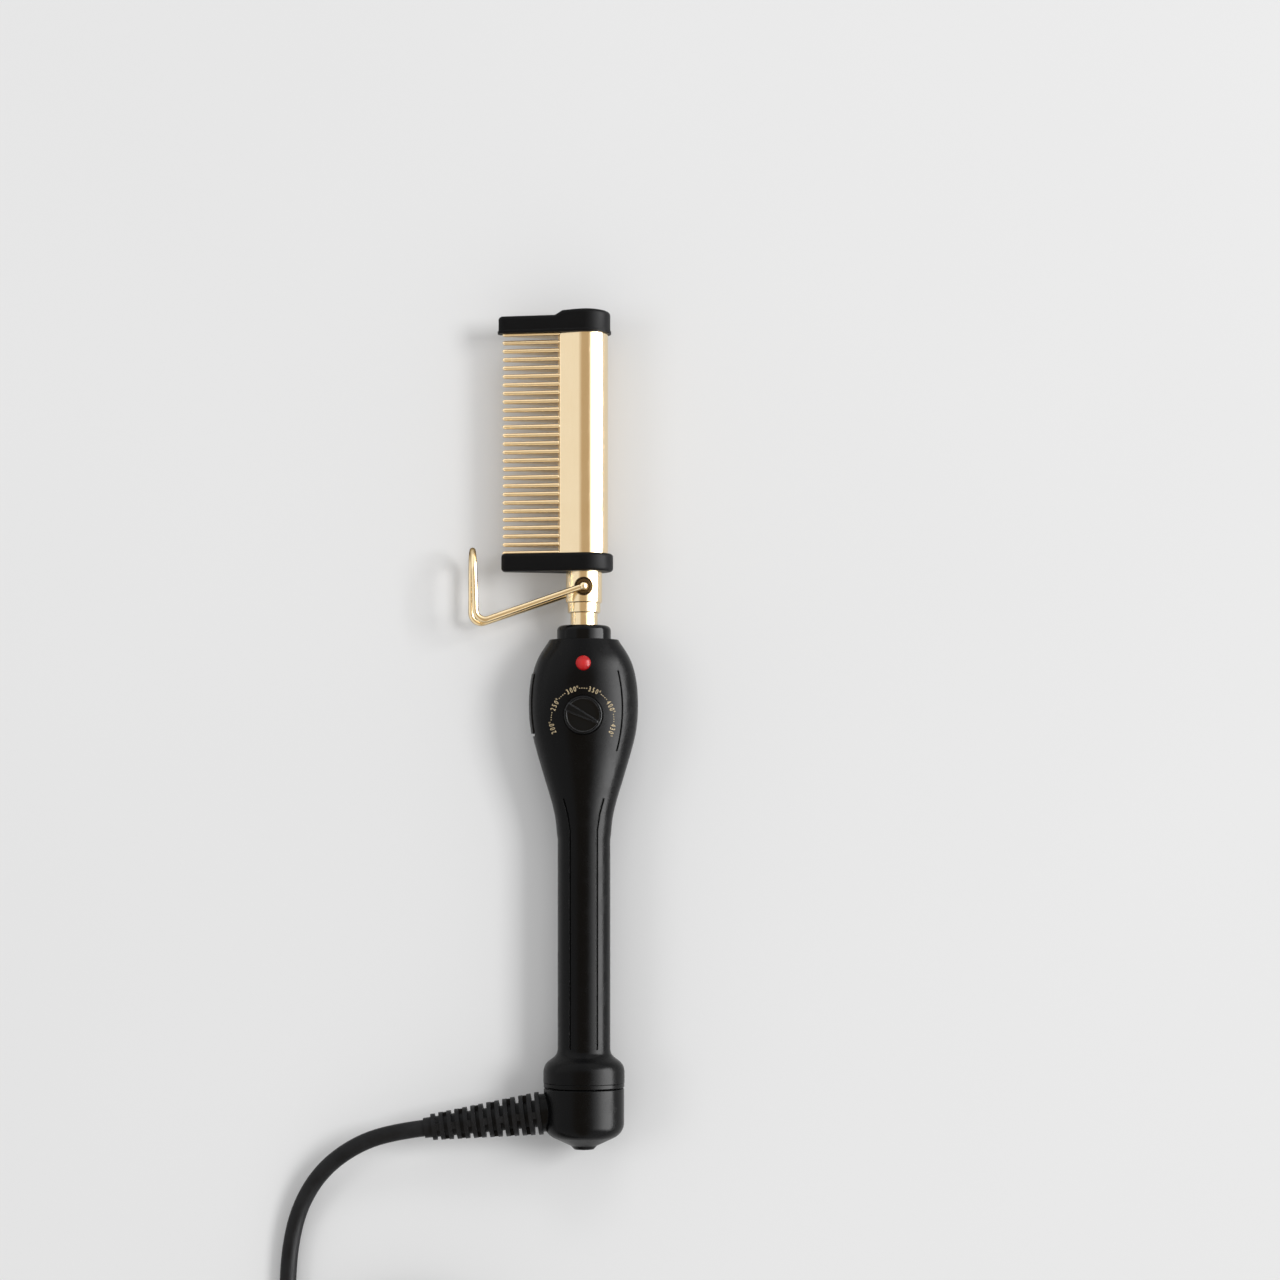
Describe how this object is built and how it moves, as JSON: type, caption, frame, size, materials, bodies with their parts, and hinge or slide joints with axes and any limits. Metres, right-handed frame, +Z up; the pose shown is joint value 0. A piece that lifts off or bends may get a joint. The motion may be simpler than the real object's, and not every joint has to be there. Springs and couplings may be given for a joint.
{
  "type": "hot comb",
  "caption": "Electric pressing comb: heated gold comb head with black end caps, folding wire stand, black handle with heat dial, lamp and rocker, and a swivel cord.",
  "frame": {"origin": "on the floor under the axis of the heat dial, in the rest flat on the back of the handle", "axes": "+Y along the handle to the tip of the comb, +Z up out of the dial's face, -X to the teeth"},
  "size_m": [0.1347, 0.4538, 0.0334],
  "materials": {
    "gold_plate": "bright gold plating on aluminium",
    "gold_wire": "bright gold plating on spring steel wire",
    "dark_steel": "blackened eyelet",
    "heat_black": "matt heat-resistant moulding",
    "gloss_black": "gloss",
    "satin_black": "satin moulding",
    "knob_black": "satin gloss",
    "rocker_black": "satin moulding",
    "heater_aluminium": "as extruded",
    "heater_ceramic": "fired ceramic",
    "brass_contact": "bright",
    "zinc_steel": "zinc plated",
    "sensor_glass": "clear glass bulb",
    "lead_silicone": "silicone insulation",
    "component_plastic": "moulded component",
    "red_lens": "translucent red",
    "board_green": "solder mask",
    "capacitor_yellow": "dipped",
    "resistor_tan": "lacquer",
    "boot_black": "flexible moulding",
    "cord_black": "round flexible lead",
    "tie_black": "strap",
    "plug_black": "moulded plug",
    "blade_nickel": "nickel plated"
  },
  "bodies": {
    "comb": {"spine_shell": "gold_plate", "comb_blade": "gold_plate", "neck_tube": "gold_plate", "neck_ferrule": "gold_plate", "stem_tube": "gold_plate", "stand_eyelet_front": "dark_steel", "stand_eyelet_rear": "dark_steel", "top_cap": "heat_black", "base_plate": "heat_black", "collar": "gloss_black", "tip_plug": "heater_aluminium", "heater_block_front": "heater_aluminium", "heater_block_rear": "heater_aluminium", "heater_plate": "heater_ceramic", "electrode_foils": "brass_contact", "cap_screw": "zinc_steel", "thermal_sensor": "sensor_glass", "heater_leads": "lead_silicone", "handle_front_shell": "satin_black", "handle_rear_shell": "satin_black", "housing_screws": "zinc_steel", "dial_pot": "component_plastic", "neon_lamp": "sensor_glass", "lamp_lens": "red_lens", "switch_body": "component_plastic", "control_board": "board_green", "capacitor": "capacitor_yellow", "triac": "component_plastic", "board_resistors": "resistor_tan", "slip_ring_plate": "component_plastic", "slip_rings": "brass_contact", "grip_leads": "lead_silicone", "swivel_ring": "gloss_black"},
    "stand": {"stand_wire": "gold_wire"},
    "dial": {"dial_knob": "knob_black", "dial_shaft": "zinc_steel"},
    "rocker": {"power_rocker": "rocker_black"},
    "swivel": {"swivel_spindle": "zinc_steel", "spindle_nut": "zinc_steel", "brush_carrier": "component_plastic", "contact_brushes": "brass_contact", "swivel_cap": "satin_black", "strain_relief": "boot_black", "swivel_leads": "lead_silicone", "cord_lead": "cord_black", "cord_coil": "cord_black", "coil_tie": "tie_black", "plug_boot": "plug_black", "plug_body": "plug_black", "plug_blades": "blade_nickel"}
  },
  "joints": [
    {"name": "stand_swing", "type": "hinge", "parent": "comb", "child": "stand", "pos_m": [0, 0.0461, 0.0146], "axis": [0, 0, 1], "range_deg": [-25, 38]},
    {"name": "dial_turn", "type": "hinge", "parent": "comb", "child": "dial", "pos_m": [0, 0, 0.0146], "axis": [0, 0, 1], "range_deg": [0, 231]},
    {"name": "power_rock", "type": "hinge", "parent": "comb", "child": "rocker", "pos_m": [-0.0132, 0.0045, 0.0146], "axis": [0, 0, 1], "range_deg": [0, 6]},
    {"name": "cord_swivel", "type": "hinge", "parent": "comb", "child": "swivel", "pos_m": [0, -0.14, 0.0146], "axis": [0, 1, 0], "continuous": true}
  ]
}
